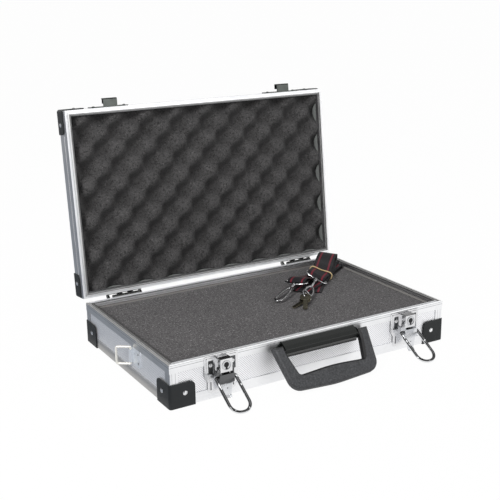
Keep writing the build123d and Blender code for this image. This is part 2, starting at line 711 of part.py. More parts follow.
parts = shell("base", 0.0, base_height, rivet_level, guard_base_tall)
for node, solids in parts.items():
    keep(node, *(solids if isinstance(solids, list) else [solids]))
parts = shell("lid", lid_top, lid_rim, lid_rivet_level, guard_lid_tall)
for node, solids in parts.items():
    keep(node, *[opened(s) for s in (solids if isinstance(solids, list) else [solids])])

foam_low = stand_off + skin + panel
keep("base_foam", slab((-room_x, room_x), (-room_y, room_y), (foam_low, base_foam_top)))
keep("lid_foam", opened(lid_foam(lid_top - foam_low)))

for side, place in latch_places.items():
    keep(f"{side}_latch_plate", *placed([latch_plate()], place))
    keep(f"{side}_lock_case", *placed([lock_case()], place))
    keep(f"{side}_lock_cylinder", *placed([lock_cylinder()], place))
    keep(f"{side}_lock_bolt", *placed([lock_bolt()], place))
    keep(f"{side}_latch_lever", *placed([latch_lever()], place))
    keep(f"{side}_lever_pins", *placed(lever_pins(), place))
    keep(f"{side}_latch_bail", *placed([latch_bail(place[1])], place))
    keep(f"{side}_lid_catch", *[opened(s) for s in placed([lid_catch()], place)])

keep("handle_bracket", handle_bracket())
keep("handle_grip", handle_grip())
keep("handle_pins", *handle_pins())
keep("hinge_base_leaves", *hinge_leaves(False))
keep("hinge_lid_leaves", *[opened(s) for s in hinge_leaves(True)])
keep("hinge_pins", *hinge_pins())
keep("left_ring_bracket", ring_bracket())
keep("left_side_ring", side_ring())
keep("right_ring_bracket", ring_bracket().mirror(Plane.YZ))
keep("right_side_ring", side_ring().mirror(Plane.YZ))
keep("strap_webbing", *strap_webbing())
keep("strap_band", strap_band())
keep("strap_hooks", *[snap_hook(*sizes) for sizes in zip(hook_eyes, hook_tips, hook_sides, hook_necks)])
keep("key_ring", key_ring())
keep("keys", *[key(*ends) for ends in zip(key_holes, key_tips)])

os.makedirs("parts", exist_ok=True)
for node, solids in nodes.items():
    flat = [solid for shape in solids for solid in shape.solids()]
    export_step(flat[0] if len(flat) == 1 else Compound(children=flat), f"parts/{node}.step")
print(len(nodes), "sub-parts")
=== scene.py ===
import math

import bpy
from mathutils import Matrix, Vector, noise


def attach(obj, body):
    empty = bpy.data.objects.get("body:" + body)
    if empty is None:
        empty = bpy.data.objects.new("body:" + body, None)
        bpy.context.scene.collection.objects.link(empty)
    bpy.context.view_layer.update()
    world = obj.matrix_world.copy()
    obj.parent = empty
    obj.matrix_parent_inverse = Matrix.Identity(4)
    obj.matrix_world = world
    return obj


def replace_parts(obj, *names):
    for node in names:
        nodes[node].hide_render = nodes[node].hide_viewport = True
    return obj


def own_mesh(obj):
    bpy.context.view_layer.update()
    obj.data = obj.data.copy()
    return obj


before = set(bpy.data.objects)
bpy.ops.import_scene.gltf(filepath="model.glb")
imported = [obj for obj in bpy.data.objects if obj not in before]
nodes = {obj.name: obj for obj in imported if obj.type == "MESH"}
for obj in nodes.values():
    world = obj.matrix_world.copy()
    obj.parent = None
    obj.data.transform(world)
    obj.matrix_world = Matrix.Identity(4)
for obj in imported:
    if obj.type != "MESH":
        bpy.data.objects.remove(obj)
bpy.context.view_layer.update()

mm = 0.001

# places that many pieces are worked out from, in metres, in the frame that all the models share
case = {
    "halfX": 0.225, "halfY": 0.140,            # faces of the extrusions
    "rimZ": 0.061, "lidRimZ": 0.0613,          # lands of the two rims, lid shut
    "hinge": Vector((0, 0.1448, 0.0598)), "open": math.radians(96.3),
    "roomX": 0.217, "roomY": 0.132,            # inside of the lining
    "facesZ": {"Base": (0.0152, 0.0491), "Lid": (0.0733, 0.0795)},      # where the panels show, lid shut
}


# --- shader maths ---

class Socket:
    def __init__(self, shader, link):
        self.shader = shader
        self.link = link

    def combine(self, operation, first, second):
        # vector maths as soon as one of the two is a vector
        isVector = any(value.link.type not in ("VALUE", "INT") if isinstance(value, Socket)
                       else isinstance(value, (tuple, Vector)) for value in (first, second))
        kind = "ShaderNodeVectorMath" if isVector else "ShaderNodeMath"
        return self.shader.node(kind, {"operation": operation}, {0: first, 1: second})

    def __add__(self, other):
        return self.combine("ADD", self, other)

    def __radd__(self, other):
        return self.combine("ADD", other, self)

    def __sub__(self, other):
        return self.combine("SUBTRACT", self, other)

    def __rsub__(self, other):
        return self.combine("SUBTRACT", other, self)

    def __mul__(self, other):
        return self.combine("MULTIPLY", self, other)

    def __rmul__(self, other):
        return self.combine("MULTIPLY", other, self)

    def math(self, operation, *others):
        inputs = {k + 1: value for k, value in enumerate(others)}
        return self.shader.node("ShaderNodeMath", {"operation": operation}, {0: self, **inputs})

    def clamp(self):
        return self.shader.node("ShaderNodeClamp", {}, {0: self})

    def fade(self, low, high):
        return self.shader.node("ShaderNodeMapRange", {"interpolation_type": "SMOOTHSTEP"},
                                {0: self, 1: low, 2: high})

    def line(self, level, half, core=0.45):
        # 1 in the core of a line where the value is at this level, 0 beyond half its width
        return 1 - (self - level).math("ABSOLUTE").fade(half * core, half)


class Shader:
    def __init__(self, tree):
        self.tree = tree

    def feed(self, socket, value):
        if isinstance(value, Socket):
            self.tree.links.new(value.link, socket)
        elif socket.type == "RGBA":
            socket.default_value = (*value[:3], 1.0)
        else:
            socket.default_value = value

    def node(self, kind, settings=None, inputs=None, output=0):
        made = self.tree.nodes.new(kind)
        for word, value in (settings or {}).items():
            setattr(made, word, value)
        for word, value in (inputs or {}).items():
            self.feed(made.inputs[word], value)
        return Socket(self, made.outputs[output])

    def place(self):
        return self.node("ShaderNodeTexCoord", output="Object")

    def facing(self):
        return self.parts(self.node("ShaderNodeTexCoord", output="Normal"))

    def closedPlace(self):
        # the same point with the lid shut, so that patterns run along the lid's own edges
        return self.node("ShaderNodeVectorRotate", {"rotation_type": "X_AXIS"},
                         {"Vector": self.place(), "Center": case["hinge"], "Angle": case["open"]})

    def parts(self, vector):
        split = self.node("ShaderNodeSeparateXYZ", {}, {0: vector}).link.node
        return [Socket(self, socket) for socket in split.outputs]

    def grain(self, vector, scale, detail=3.0, rough=0.55):
        return self.node("ShaderNodeTexNoise", {}, {"Vector": vector, "Scale": scale, "Detail": detail,
                                                    "Roughness": rough})

    def blend(self, amount, first, second):
        # inputs 6 and 7 are the two colours, output 2 is the mixed one
        return self.node("ShaderNodeMix", {"data_type": "RGBA"}, {0: amount, 6: first, 7: second}, output=2)

    def blendNumber(self, amount, first, second):
        return self.node("ShaderNodeMix", {}, {0: amount, 2: first, 3: second})

    def bump(self, height, distance, strength):
        return self.node("ShaderNodeBump", {}, {"Height": height, "Distance": distance,
                                                "Strength": strength})


class Finish(Shader):
    def __init__(self, name, slot=None, **fixed):
        self.material = bpy.data.materials.new(name)
        self.material.use_nodes = True
        super().__init__(self.material.node_tree)
        self.slot = slot
        self.principled = self.tree.nodes["Principled BSDF"]
        self.surface(**fixed)

    def surface(self, **values):
        # Base_Color=... feeds the input called Base Color
        for words, value in values.items():
            self.feed(self.principled.inputs[words.replace("_", " ")], value)
        return self


def addLines(value, lines):
    # each line has its level, half its width and its depth
    drawn = [value.line(level, half) * depth for level, half, depth in lines]
    return sum(drawn[1:], drawn[0])


def shaded(colour, share, lift=0.0):
    return tuple(value * share + lift for value in colour)


# --- aluminium frames ---

frameLook = {
    "bright": (0.96, 0.962, 0.97), "dull": (0.80, 0.808, 0.825), "toneFrom": (0.28, 0.72),
    "grooveDark": (0.13, 0.135, 0.145), "landDark": (0.012, 0.013, 0.015), "landDeep": 0.6,
    "brush": (9, 5200), "brushDetail": 4,          # along and across a length
    "cloud": 22, "handled": (130, 5, 0.65), "handledFrom": (0.56, 0.75),
    "rough": 0.33, "brushRough": 0.12, "handledRough": 0.05, "landRough": 0.2,
    "mitre": (-0.1 * mm, 0.1 * mm), "landFrom": (0.5 * mm, 0.9 * mm), "innerFrom": (2.5 * mm, 5.0 * mm),
    # painted shade: the darker colour laid on the side lengths, the lands' inner halves, the base's foot and
    # the lid's upward front, and how much of it there is
    "paintedShade": (0.228, 0.22, 0.208), "side": 0.35, "land": 0.32, "inner": 0.2,
    "foot": 0.4, "footFrom": (44 * mm, 49 * mm),
    "lidInner": 0.5, "lidSideInner": 0.15, "lidFront": 0.3, "lidFrontFrom": (0.75, 0.92),
    # drawn lines, darkened as painted shade in grooves and pressed in by the bump: below the rim, in from
    # the case's face, from its corner
    "grooves": ((1.1 * mm, 0.45 * mm, 0.55), (4.2 * mm, 0.5 * mm, 0.6)),
    "lands": ((5.0 * mm, 1.0 * mm, 0.9), (7.3 * mm, 0.7 * mm, 0.8), (9.2 * mm, 1.5 * mm, 1.0)),
    "posts": ((3.5 * mm, 0.45 * mm, 0.4), (8.5 * mm, 0.5 * mm, 0.4)), "postEnd": 0.3 * mm,
    "bump": (0.3 * mm, 0.5), "brushBump": 0.12,
}


def makeFrameFinish(name, lid):
    say = frameLook
    look = Finish(name, "frame")
    place = look.closedPlace() if lid else look.place()
    x, y, z = look.parts(place)
    insetX = case["halfX"] - x.math("ABSOLUTE")
    insetY = case["halfY"] - y.math("ABSOLUTE")
    inset = insetX.math("MINIMUM", insetY)
    # 1 on the side lengths, which start at the mitre
    alongY = (insetY - insetX).fade(*say["mitre"])
    along, across = say["brush"]
    brushes = [look.grain(place * Vector(scales), 1.0, say["brushDetail"])
               for scales in ((along, across, across), (across, along, across))]
    brush = look.blendNumber(alongY, *brushes)
    cloud = look.grain(place, say["cloud"])
    handled = look.grain(place, *say["handled"]).fade(*say["handledFrom"])
    tone = (brush * 0.5 + cloud * 0.5).fade(*say["toneFrom"])
    rise = (z - (case["lidRimZ"] if lid else case["rimZ"])).math("ABSOLUTE")
    onLand = 1 - rise.fade(*say["landFrom"])
    groove = addLines(rise, say["grooves"]) * (1 - onLand)
    landGroove = (addLines(inset, say["lands"]) * onLand).clamp()
    if not lid:
        low, high = case["facesZ"]["Base"]
        half = (high - low) / 2
        onPost = 1 - (z - (low + half)).math("ABSOLUTE").fade(half - say["postEnd"], half)
        groove = groove + addLines(insetX.math("MAXIMUM", insetY), say["posts"]) * onPost
    groove = groove.clamp()
    # painted shade: the side lengths are darkened, and so are the inner half of a land and the base's foot
    inner = inset.fade(*say["innerFrom"]) * onLand
    if lid:
        dull = alongY * say["side"] * (1 - onLand)
        dull = dull + inner * (say["lidInner"] + alongY * say["lidSideInner"])
    else:
        foot = rise.fade(*say["footFrom"]) * say["foot"]
        dull = alongY * (say["side"] + onLand * say["land"] + inner * say["inner"] + foot)
    colour = look.blend(tone, say["dull"], say["bright"])
    colour = look.blend(dull.clamp(), colour, say["paintedShade"])
    # painted shade: the lid frame's faces that point up as it stands open, its front when shut, are darkened
    if lid:
        upward = look.facing()[2].fade(*say["lidFrontFrom"])
        colour = look.blend(upward * say["lidFront"], colour, say["paintedShade"])
    # painted shade: the groove and land lines are darkened, and the land lines lose some of their metal
    colour = look.blend(groove, colour, say["grooveDark"])
    colour = look.blend(landGroove, colour, say["landDark"])
    roughness = (say["rough"] + brush * say["brushRough"] + handled * say["handledRough"]
                 + onLand * say["landRough"])
    height = brush * say["brushBump"] - groove - landGroove
    return look.surface(Base_Color=colour, Roughness=roughness,
                        Metallic=1 - landGroove * say["landDeep"],
                        Normal=look.bump(height, *say["bump"]))


# --- embossed panels ---

panelLook = {
    "upright": (0.965, 0.967, 0.985), "flat": (0.80, 0.803, 0.82),     # walls, and the top and bottom
    "dot": (0.24, 0.245, 0.265), "dotShare": 0.85, "dotFrom": (0.25, 0.85), "ridgeFrom": (0.1, 0.9),
    "pitch": 3.2 * mm, "rough": 0.37, "metallic": 1.0, "sideMetallic": 0.85,
    "border": (0.22, 0.225, 0.24), "borderLine": (0.8 * mm, 0.75),     # half its width, its depth
    "frameX": 12.5 * mm, "frameY": 12.8 * mm,                          # how far in the frames reach
    "cloud": (14, 4), "scuff": (60, 5, 0.7), "scuffFrom": (0.55, 0.75), "worn": (0.70, 0.71, 0.74),
    "wornShare": 0.10, "cloudRough": 0.10, "scuffRough": 0.04, "bump": (0.12 * mm, 0.7),
}


def makePanelFinish(name, axes, half):
    # axes are the two that the panel's face lies along
    say = panelLook
    sideways = axes == (1, 2)
    look = Finish(name, "panel", Metallic=say["sideMetallic" if sideways else "metallic"])
    place = look.place()
    parts = look.parts(look.closedPlace() if half == "Lid" else place)
    turn = 2 * math.pi / say["pitch"]
    # every second crossing of the lattice is a pressed dot
    weave = (parts[axes[0]] * turn).math("COSINE") * (parts[axes[1]] * turn).math("COSINE")
    dot = weave.fade(*say["dotFrom"])
    ridge = (weave * -1).fade(*say["ridgeFrom"])
    cloud = look.grain(place, *say["cloud"])
    scuff = look.grain(place, *say["scuff"]).fade(*say["scuffFrom"])
    ends = {0: (case["halfX"] - say["frameX"],), 1: (case["halfY"] - say["frameY"],),
            2: case["facesZ"][half]}
    borders = []
    for axis in axes:
        value = parts[axis] if axis == 2 else parts[axis].math("ABSOLUTE")
        borders.append(addLines(value, [(level, *say["borderLine"]) for level in ends[axis]]))
    colour = look.blend(dot * say["dotShare"], say["flat" if axes == (0, 1) else "upright"],
                        say["dot"])
    wear = cloud * say["wornShare"] + scuff * say["wornShare"]
    colour = look.blend(wear, colour, say["worn"])
    colour = look.blend((borders[0] + borders[1]).clamp(), colour, say["border"])
    roughness = say["rough"] + cloud * say["cloudRough"] + scuff * say["scuffRough"]
    return look.surface(Base_Color=colour, Roughness=roughness,
                        Normal=look.bump(ridge - dot, *say["bump"]))


# --- black plastic ---

plasticLook = {
    "cloud": 30, "cloudShare": 0.3, "cloudRough": 0.12, "fine": (4, 0.6), "fineRough": 0.06, "bump": 0.6,
    "rub": (160, 5, 0.7), "rubFrom": (0.60, 0.74), "rubRough": 0.06, "pale": (1.9, 0.01),
    "specular": 0.28,
    # the grip's moulded face is speckled, and the walls round its gap get painted shade
    "speckle": (420, 3, 0.7), "lightFrom": (0.50, 0.66), "light": 2.6, "lightShare": 0.55,
    "darkFrom": (0.36, 0.48), "dark": 0.3, "darkShare": 0.5,
    "wall": 0.12, "wallSide": (0.66, 0.751), "wallFrom": (0.35, 0.7), "cheekFrom": (0.4, 0.7),
}
plastics = {
    "guard": {"name": "guardPlastic", "slot": "protector", "colour": (0.011, 0.0125, 0.0135), "rough": 0.44,
              "grain": 1500, "depth": 0.2 * mm, "worn": 0.25},
    "grip": {"name": "gripPlastic", "slot": "grip", "colour": (0.035, 0.036, 0.0385), "rough": 0.44,
             "grain": 1900, "depth": 0.12 * mm, "worn": 0.12, "speckled": True},
    "bracket": {"name": "bracketPlastic", "slot": "bracket", "colour": (0.003, 0.004, 0.0035), "rough": 0.18,
                "grain": 1600, "depth": 0.1 * mm, "worn": 0.1},
    # painted shade: the black of the keyholes and of the levers' holes
    "keyway": {"name": "holeShadeBlack", "slot": "lock", "colour": (0.006, 0.006, 0.007), "rough": 0.35,
               "grain": 1700, "depth": 0.1 * mm, "worn": 0.1},
}


def addSpeckleAndPaintedShade(look, place, body, say):
    colour = say["colour"]
    speckle = look.grain(place, *say["speckle"])
    light = speckle.fade(*say["lightFrom"]) * say["lightShare"]
    body = look.blend(light, body, shaded(colour, say["light"]))
    dark = (1 - speckle.fade(*say["darkFrom"])) * say["darkShare"]
    body = look.blend(dark, body, shaded(colour, say["dark"]))
    # painted shade: the walls round the gap, which face forward and up, are darkened
    facing = look.facing()
    forward, upward = say["wallSide"]
    wall = (facing[1] * forward + facing[2] * upward).fade(*say["wallFrom"])
    # painted shade: the cheeks at the two ends, which face the middle, are darkened too
    toMiddle = facing[0] * look.parts(place)[0].math("SIGN") * -1
    wall = wall + toMiddle.fade(*say["cheekFrom"])
    return look.blend(wall.clamp(), body, shaded(colour, say["wall"]))


def makePlasticFinish(own):
    say = {**plasticLook, **own}
    look = Finish(say["name"], say["slot"], Specular_IOR_Level=say["specular"])
    place = look.place()
    colour = say["colour"]
    fine = look.grain(place, say["grain"], *say["fine"])
    cloud = look.grain(place, say["cloud"])
    rubbed = look.grain(place, *say["rub"]).fade(*say["rubFrom"])
    body = look.blend(cloud * say["cloudShare"] + rubbed * say["worn"], colour,
                      shaded(colour, *say["pale"]))
    if say.get("speckled"):
        body = addSpeckleAndPaintedShade(look, place, body, say)
    roughness = (say["rough"] + cloud * say["cloudRough"] - rubbed * say["rubRough"]
                 + fine * say["fineRough"])
    return look.surface(Base_Color=body, Roughness=roughness,
                        Normal=look.bump(fine, say["depth"], say["bump"]))


# --- plated metal ---

metalLook = {
    # what a metal may say otherwise
    "dull": (0.45, 0.46, 0.48), "smearShare": 0.5, "skyShare": 0.85, "skyFrom": 0.42, "metallic": 1.0,
    "glints": 0.25, "upper": None,
    "glint": (150, 2), "glintFrom": (0.56, 0.66), "ripple": (240, 2), "rippleShare": 0.25, "skyFade": 0.25,
    "dark": 0.045, "smear": (55, 4, 0.6), "smearFrom": (0.45, 0.85), "pits": 900, "brush": (60, 60, 1900),
    "smearRough": 0.10, "pitRough": 0.04, "smearBump": 0.7, "pitBump": 0.1, "brushBump": 0.05,
    "bump": (0.2 * mm, 0.35), "levelWave": 6 * mm, "levelFade": 1 * mm, "levelShare": 0.85,
}
# name, slot, colour, roughness, and what it says otherwise
metals = {
    "chrome": ("latchChrome", "latch", (0.80, 0.80, 0.81), 0.11, {}),
    "bail": ("bailChrome", "latch", (0.78, 0.79, 0.80), 0.12,
             {"skyShare": 0.97, "skyFrom": 0.22, "glints": 0.7}),
    "case": ("lockCaseChrome", "lock", (0.78, 0.78, 0.79), 0.14, {}),
    "lock": ("lockPlating", "lock", (0.62, 0.625, 0.64), 0.18, {}),
    "steel": ("boltSteel", "bolt", (0.50, 0.50, 0.50), 0.32, {}),
    "pin": ("pinSteel", "pin", (0.62, 0.62, 0.63), 0.22, {}),
    "hinge": ("hingeNickel", "hinge", (0.16, 0.162, 0.16), 0.28,
              {"dull": (0.08, 0.08, 0.08)}),
    # painted reflection: above this level the left lever is darkened as if it mirrored the dark side of the
    # room
    "leverLeft": ("leverChromeLeft", "latch", (0.74, 0.75, 0.77), 0.13,
                  {"dull": (0.30, 0.31, 0.33), "skyShare": 0.3, "upper": 29 * mm}),
    # the right lever is mottled far darker than the rest of the chrome
    "leverRight": ("leverChromeRight", "latch", (0.74, 0.75, 0.77), 0.13,
                   {"dull": (0.26, 0.28, 0.31), "smearShare": 0.9, "skyShare": 0.3}),
    "catch": ("catchNickel", "latch", (0.085, 0.092, 0.087), 0.22,
              {"dull": (0.03, 0.032, 0.03)}),
    "ring": ("ringPlating", "ring", (0.86, 0.84, 0.78), 0.22,
             {"dull": (0.60, 0.58, 0.52), "smearShare": 0.4, "skyShare": 0.15, "metallic": 0.4}),
    "ringPlate": ("ringPlatePlating", "ring", (0.70, 0.73, 0.77), 0.26,
                  {"dull": (0.45, 0.47, 0.50), "smearShare": 0.4, "skyShare": 0.3, "metallic": 0.6}),
    "hook": ("hookPlating", "hook", (0.76, 0.76, 0.77), 0.13, {}),
    "rivet": ("rivetAluminium", "rivet", (0.82, 0.82, 0.83), 0.26, {}),
    "keys": ("keyBrass", "keys", (0.50, 0.46, 0.33), 0.24,
             {"dull": (0.24, 0.21, 0.14)}),
    # painted shade: the dark sheets in the latch plates' recesses
    "recess": ("recessShadeSheet", "latch", (0.10, 0.103, 0.107), 0.25,
               {"dull": (0.03, 0.03, 0.03), "smearShare": 1.0}),
}


def makeMetalFinish(name, slot, colour, rough, own):
    say = {**metalLook, **own}
    look = Finish(name, slot, Metallic=say["metallic"])
    place = look.place()
    # painted reflection: what faces up is darkened as if the polished metal mirrored an unlit ceiling, and
    # noise glints keep it off in spots as painted highlights
    upward = look.facing()[2] + look.grain(place, *say["ripple"]) * say["rippleShare"]
    glint = look.grain(place, *say["glint"]).fade(*say["glintFrom"]) * say["glints"]
    paintedReflection = upward.fade(say["skyFrom"], say["skyFrom"] + say["skyFade"]) * (1 - glint) * say["skyShare"]
    dark = shaded(colour, say["dark"])
    smear = look.grain(place, *say["smear"])
    pits = look.grain(place, say["pits"])
    brushed = look.grain(place * Vector(say["brush"]), 1.0)
    metal = look.blend(smear.fade(*say["smearFrom"]) * say["smearShare"], colour, say["dull"])
    # painted reflection: the left lever is darkened above its level
    if say["upper"]:
        level = look.parts(place)[2] + smear * say["levelWave"]
        above = level.fade(say["upper"] - say["levelFade"], say["upper"] + say["levelFade"])
        metal = look.blend(above * say["levelShare"], metal, dark)
    height = smear * say["smearBump"] + pits * say["pitBump"] + brushed * say["brushBump"]
    return look.surface(Base_Color=look.blend(paintedReflection, metal, dark),
                        Roughness=rough + smear * say["smearRough"] + pits * say["pitRough"],
                        Normal=look.bump(height, *say["bump"]))


# --- lining ---

linerLook = {"linerBase": ("wallLiningBase", (0.24, 0.230, 0.222), (0.33, 0.315, 0.305)),  # deep, then pale
             "linerLid": ("wallLiningLid", (0.145, 0.155, 0.148), (0.20, 0.212, 0.204)),
             "felt": (1700, 3, 0.7), "cloud": (35, 4), "rough": 0.85, "feltRough": 0.1,
             "bump": (0.3 * mm, 0.5)}


def makeLinerFinish(name, deep, pale):
    look = Finish(name, "liner", Specular_IOR_Level=0.2, Sheen_Weight=0.25, Sheen_Roughness=0.5)
    place = look.place()
    felt = look.grain(place, *linerLook["felt"])
    cloud = look.grain(place, *linerLook["cloud"])
    return look.surface(Base_Color=look.blend(felt * 0.5 + cloud * 0.5, deep, pale),
                        Roughness=linerLook["rough"] + felt * linerLook["feltRough"],
                        Normal=look.bump(felt, *linerLook["bump"]))


# --- foam finish ---

foamLook = {
    "base": {"name": "flatFoam", "slot": "base_foam", "colour": (0.078, 0.0735, 0.0757),
             "deep": (0.020, 0.0185, 0.019), "pale": (0.43, 0.415, 0.415), "speck": 420, "speckShare": 0.72},
    "lid": {"name": "eggCrateFoam", "slot": "lid_foam", "colour": (0.062, 0.0602, 0.0607),
            "deep": (0.014, 0.0135, 0.0135), "pale": (0.155, 0.150, 0.150), "speck": 430, "speckShare": 0.8},
    "pore": (300, 6, 0.8), "poreFrom": (0.40, 0.52), "poreShare": 0.85, "speckGrain": (5, 0.8),
    "speckFrom": (0.54, 0.66), "cell": 1300, "cloud": 26, "cloudFrom": (0.35, 0.75), "cloudShare": 0.2,
    "rough": 0.92, "poreRough": 0.06, "bump": (0.8 * mm, 0.6), "speckBump": 0.5, "cellBump": 0.4,
    # painted shade: the egg crate's valleys darken by level with the lid shut, and so do the slopes right of
    # and below its peaks
    "valley": (66.5 * mm, 78.5 * mm), "valleyShare": 0.4,
    "away": (0.5, -0.85), "awayFrom": (0.0, 0.55), "awayShare": 0.6,
}


def makeFoamFinish(kind):
    say = {**foamLook, **foamLook[kind]}
    look = Finish(say["name"], say["slot"], Specular_IOR_Level=0.12, Sheen_Weight=0.10, Sheen_Roughness=0.6)
    place = look.place()
    pore = look.grain(place, *say["pore"])
    speck = look.grain(place, say["speck"], *say["speckGrain"])
    cell = look.node("ShaderNodeTexVoronoi", {}, {"Vector": place, "Scale": say["cell"]})
    cloud = look.grain(place, say["cloud"])
    holes = (1 - pore.fade(*say["poreFrom"])) * say["poreShare"]
    body = look.blend(holes, say["colour"], say["deep"])
    body = look.blend(speck.fade(*say["speckFrom"]) * say["speckShare"], body, say["pale"])
    body = look.blend(cloud.fade(*say["cloudFrom"]) * say["cloudShare"], body, say["deep"])
    if kind == "lid":
        # painted shade in the valleys and on the slopes that face right and down
        valley = look.parts(look.closedPlace())[2].fade(*say["valley"])
        body = look.blend(valley * say["valleyShare"], body, say["deep"])
        facing = look.facing()
        right, up = say["away"]
        away = (facing[0] * right + facing[2] * up).fade(*say["awayFrom"])
        body = look.blend(away * say["awayShare"], body, say["deep"])
    height = pore + speck * say["speckBump"] + cell * say["cellBump"]
    return look.surface(Base_Color=body, Roughness=say["rough"] + pore * say["poreRough"],
                        Normal=look.bump(height, *say["bump"]))


# --- webbing and rubber ---

webLook = {"web": ("webbingBlack", (0.006, 0.0058, 0.007), (0.022, 0.021, 0.024)),      # deep, then pale
           "stripe": ("webbingRed", (0.115, 0.010, 0.020), (0.21, 0.030, 0.045)),
           "thread": (2400, 2, 0.6), "fluff": (420, 4, 0.7), "fluffFrom": (0.52, 0.78),
           "rough": 0.55, "threadRough": 0.3, "bump": (0.2 * mm, 0.6)}
rubberLook = {"colour": (0.45, 0.32, 0.15), "dusty": (0.66, 0.54, 0.34), "dust": (520, 4, 0.6),
              "dustFrom": (0.4, 0.75), "rough": 0.42, "dustRough": 0.2, "bump": (0.1 * mm, 0.5)}


def makeWebFinish(name, deep, pale):
    look = Finish(name, "webbing", Specular_IOR_Level=0.2, Sheen_Weight=0.05, Sheen_Roughness=0.4)
    place = look.place()
    thread = look.grain(place, *webLook["thread"])
    fluff = look.grain(place, *webLook["fluff"]).fade(*webLook["fluffFrom"])
    return look.surface(Base_Color=look.blend(thread * 0.5 + fluff * 0.5, deep, pale),
                        Roughness=webLook["rough"] + thread * webLook["threadRough"],
                        Normal=look.bump(thread, *webLook["bump"]))


def makeRubberFinish():
    look = Finish("bandRubber", "band", Specular_IOR_Level=0.5)
    dust = look.grain(look.place(), *rubberLook["dust"])
    colour = look.blend(dust.fade(*rubberLook["dustFrom"]), rubberLook["colour"], rubberLook["dusty"])
    return look.surface(Base_Color=colour, Roughness=rubberLook["rough"] + dust * rubberLook["dustRough"],
                        Normal=look.bump(dust, *rubberLook["bump"]))


# --- the finishes, and which CAD node has which ---

finishes = {word: makePlasticFinish(own) for word, own in plastics.items()}
finishes |= {word: makeMetalFinish(*row) for word, row in metals.items()}
finishes |= {word: makeLinerFinish(*linerLook[word]) for word in ("linerBase", "linerLid")}
finishes |= {word: makeWebFinish(*webLook[word]) for word in ("web", "stripe")}
finishes |= {f"foam{word.capitalize()}": makeFoamFinish(word) for word in ("base", "lid")}
finishes["band"] = makeRubberFinish()
for half in ("Base", "Lid"):
    finishes[f"frame{half}"] = makeFrameFinish(f"aluminiumFrame{half}", half == "Lid")
    for face, axes in (("Front", (0, 2)), ("Side", (1, 2)), ("Flat", (0, 1))):
        finishes[f"panel{face}{half}"] = makePanelFinish(f"embossed{face}{half}", axes, half)
print("finishes")

dressed = {"handle_bracket": "bracket", "handle_grip": "grip", "handle_pins": "pin",
           "hinge_base_leaves": "hinge", "hinge_lid_leaves": "hinge", "hinge_pins": "pin",
           "strap_hooks": "hook", "key_ring": "hook", "keys": "keys"}
for half, flat in (("Base", "bottom"), ("Lid", "top")):
    panels = {"front": "Front", "back": "Front", "left": "Side", "right": "Side", flat: "Flat"}
    others = {"rim_frame": f"frame{half}", "edge_frame": f"frame{half}", "corner_posts": f"frame{half}",
              "corner_protectors": "guard", "liner": f"liner{half}", "rivets": "rivet"}
    dressed |= {f"{half.lower()}_{word}_panel": f"panel{face}{half}" for word, face in panels.items()}
    dressed |= {f"{half.lower()}_{word}": finish for word, finish in others.items()}
for side in ("left", "right"):
    latch = {"latch_plate": "chrome", "latch_bail": "bail", "latch_lever": f"lever{side.capitalize()}",
             "lock_case": "case", "lid_catch": "catch", "lock_cylinder": "lock", "lock_bolt": "steel",
             "lever_pins": "pin", "ring_bracket": "ringPlate", "side_ring": "ring"}
    dressed |= {f"{side}_{word}": finish for word, finish in latch.items()}
for name, finish in dressed.items():
    for slot in nodes[name].material_slots:
        slot.material = finishes[finish].material
print("CAD nodes dressed")


# --- making pieces ---

openTurn = (Matrix.Translation(case["hinge"]) @ Matrix.Rotation(-case["open"], 4, "X")
            @ Matrix.Translation(-case["hinge"]))


def makePiece(name, points, faces, finish, body, smooth=True, second=None, secondFaces=()):
    mesh = bpy.data.meshes.new(name)
    mesh.from_pydata([tuple(point) for point in points], [], faces)
    mesh.update()
    piece = bpy.data.objects.new(name, mesh)
    bpy.context.scene.collection.objects.link(piece)
    mesh.materials.append(finishes[finish].material)
    if second:
        mesh.materials.append(finishes[second].material)
    for face in mesh.polygons:
        face.use_smooth = smooth
    for index in secondFaces:
        mesh.polygons[index].material_index = 1
    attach(piece, body)
    return piece


def sheetFaces(columns, rows, start=0):
    # quads of a grid whose points are listed row by row
    faces = []
    for row in range(rows - 1):
        for column in range(columns - 1):
            first = start + row * columns + column
            faces.append((first, first + 1, first + columns + 1, first + columns))
    return faces


def padMesh(halfX, halfY, step, front, back):
    # a closed pad: front gives a height for each (x, y), back is flat, and walls join the two
    columns = round(2 * halfX / step) + 1
    rows = round(2 * halfY / step) + 1
    spots = [(-halfX + 2 * halfX * c / (columns - 1), -halfY + 2 * halfY * r / (rows - 1))
             for r in range(rows) for c in range(columns)]
    points = [(x, y, front(x, y)) for x, y in spots] + [(x, y, back) for x, y in spots]
    total = columns * rows
    upper = sheetFaces(columns, rows)
    lower = [tuple(reversed(face)) for face in sheetFaces(columns, rows, total)]
    rim = ([*range(columns)] + [r * columns + columns - 1 for r in range(1, rows)]
           + [(rows - 1) * columns + c for c in range(columns - 2, -1, -1)]
           + [r * columns for r in range(rows - 2, 0, -1)])
    walls = [(rim[k], rim[k - 1], rim[k - 1] + total, rim[k] + total) for k in range(len(rim))]
    return points, upper + lower + walls


def ringFaces(rings, around, start=0, closed=False):
    # quads between rings of points that are listed one after the other
    faces = []
    for ring in range(rings if closed else rings - 1):
        near = start + ring * around
        far = start + (ring + 1) % rings * around
        for k in range(around):
            after = (k + 1) % around
            faces.append((near + k, near + after, far + after, far + k))
    return faces


def blendMarks(first, second, low, high, at):
    return first * ((high - at) / (high - low)) + second * ((at - low) / (high - low))


